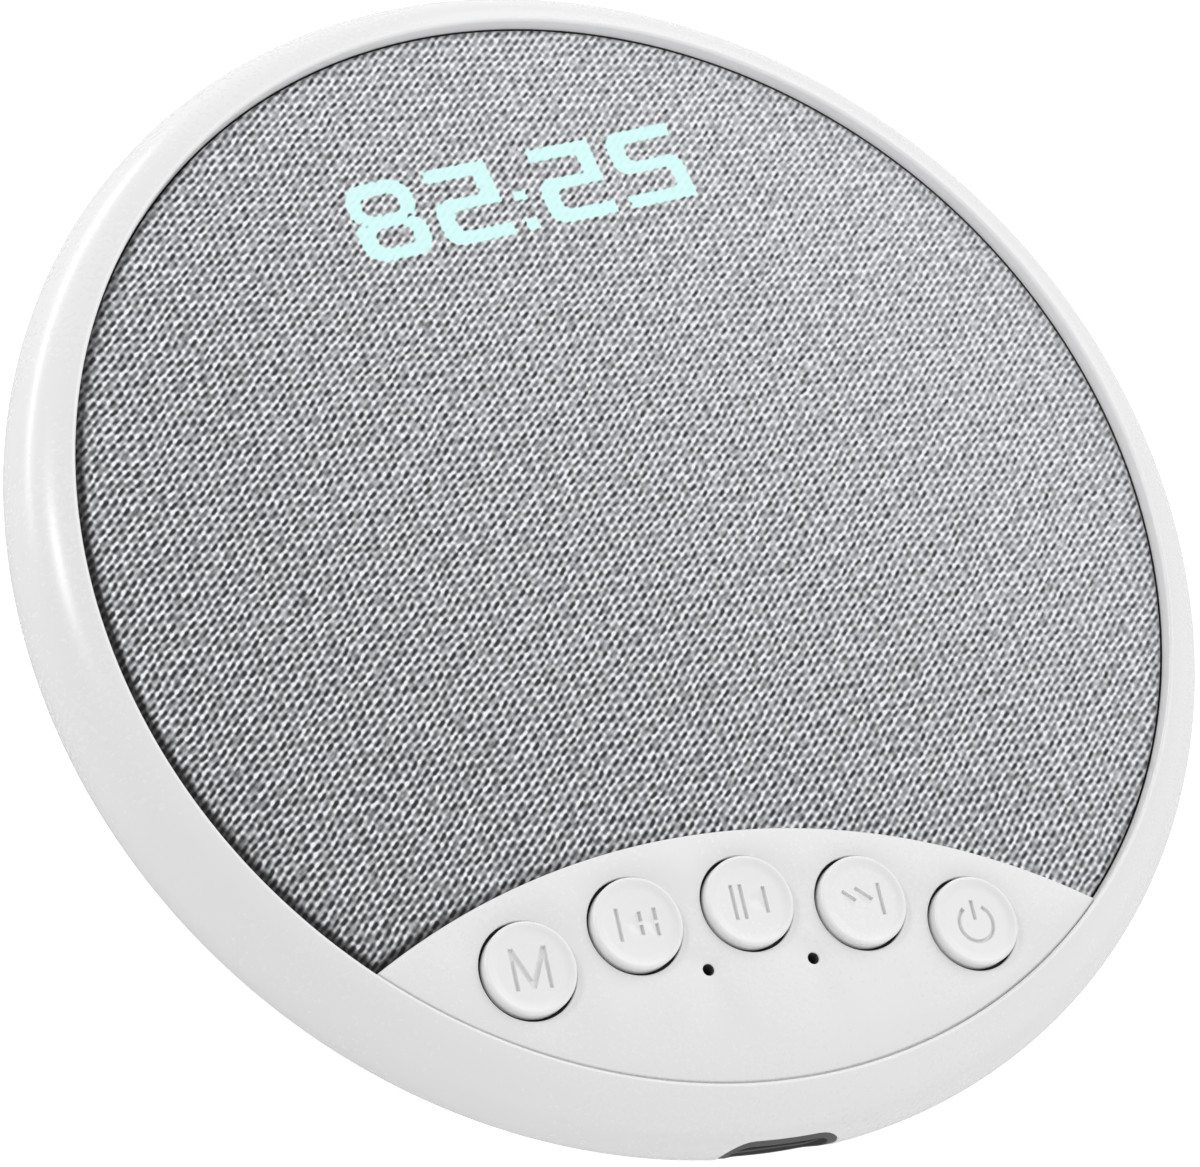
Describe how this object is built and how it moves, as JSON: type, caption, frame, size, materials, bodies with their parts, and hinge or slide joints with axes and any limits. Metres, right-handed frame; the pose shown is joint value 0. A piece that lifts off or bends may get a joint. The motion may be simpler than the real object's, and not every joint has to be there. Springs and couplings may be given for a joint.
{
  "type": "pillow speaker",
  "caption": "Flat round pillow speaker with a cloth face, a lit clock behind the cloth, a crescent of push keys, a charging port in the rim and a loudspeaker that moves.",
  "frame": {"origin": "middle of the face it rests on, under the centre of the round body", "axes": "+Z out of the cloth face, -Y from the centre to the port, +X to the right of someone who looks at the face with the keys nearest"},
  "size_m": [0.11, 0.1098, 0.0155],
  "materials": {
    "white_plastic": "semi-gloss",
    "key_plastic": "semi-gloss",
    "grille_cloth": "heather grey weave",
    "grille_plate": "matt",
    "foot_rubber": "matt",
    "steel": "bright",
    "plunger_plastic": "matt",
    "board": "satin",
    "chip_plastic": "matt",
    "port_steel": "satin",
    "port_plastic": "matt",
    "brass": "bright",
    "soft_rubber": "matt",
    "lamp": "clear",
    "cell_foil": "satin",
    "pad_foam": "matt",
    "wire_cover": "satin",
    "basket_steel": "matt",
    "magnet": "nickel plated",
    "coil": "satin",
    "cone_paper": "matt",
    "display_plastic": "matt",
    "display_light": "lit",
    "ribbon": "satin"
  },
  "bodies": {
    "body": {"front_housing": "white_plastic", "rear_cover": "white_plastic", "foot_ring": "foot_rubber", "case_screws": "steel", "grille_plate": "grille_plate", "grille_cloth": "grille_cloth", "control_panel": "white_plastic", "switch_bodies": "steel", "main_board": "board", "board_screws": "steel", "board_chips": "chip_plastic", "usb_shell": "port_steel", "usb_tongue": "port_plastic", "microphone": "brass", "microphone_boot": "soft_rubber", "status_led": "lamp", "battery": "cell_foil", "battery_pad": "pad_foam", "battery_leads": "wire_cover", "speaker_basket": "basket_steel", "speaker_yoke": "magnet", "speaker_magnet": "magnet", "speaker_pole_plate": "magnet", "speaker_surround": "soft_rubber", "speaker_gasket": "pad_foam", "speaker_screws": "steel", "speaker_leads": "wire_cover", "display_housing": "display_plastic", "display_segments": "display_light", "display_board": "board", "display_screws": "steel", "display_ribbon": "ribbon"},
    "mode_key": {"mode_button": "key_plastic", "mode_plunger": "plunger_plastic"},
    "previous_key": {"previous_button": "key_plastic", "previous_plunger": "plunger_plastic"},
    "play_key": {"play_button": "key_plastic", "play_plunger": "plunger_plastic"},
    "next_key": {"next_button": "key_plastic", "next_plunger": "plunger_plastic"},
    "power_key": {"power_button": "key_plastic", "power_plunger": "plunger_plastic"},
    "cone": {"voice_coil": "coil", "speaker_cone": "cone_paper", "dust_cap": "cone_paper"}
  },
  "joints": [
    {"name": "mode_press", "type": "slide", "parent": "body", "child": "mode_key", "axis": [0, 0, -1], "range_m": [0, 0.0003], "stiffness_N_per_m": 5000},
    {"name": "previous_press", "type": "slide", "parent": "body", "child": "previous_key", "axis": [0, 0, -1], "range_m": [0, 0.0003], "stiffness_N_per_m": 5000},
    {"name": "play_press", "type": "slide", "parent": "body", "child": "play_key", "axis": [0, 0, -1], "range_m": [0, 0.0003], "stiffness_N_per_m": 5000},
    {"name": "next_press", "type": "slide", "parent": "body", "child": "next_key", "axis": [0, 0, -1], "range_m": [0, 0.0003], "stiffness_N_per_m": 5000},
    {"name": "power_press", "type": "slide", "parent": "body", "child": "power_key", "axis": [0, 0, -1], "range_m": [0, 0.0003], "stiffness_N_per_m": 5000},
    {"name": "cone_drive", "type": "slide", "parent": "body", "child": "cone", "axis": [0, 0, 1], "range_m": [-0.0007, 0.0007], "stiffness_N_per_m": 2500, "deforming": ["speaker_surround"]}
  ]
}
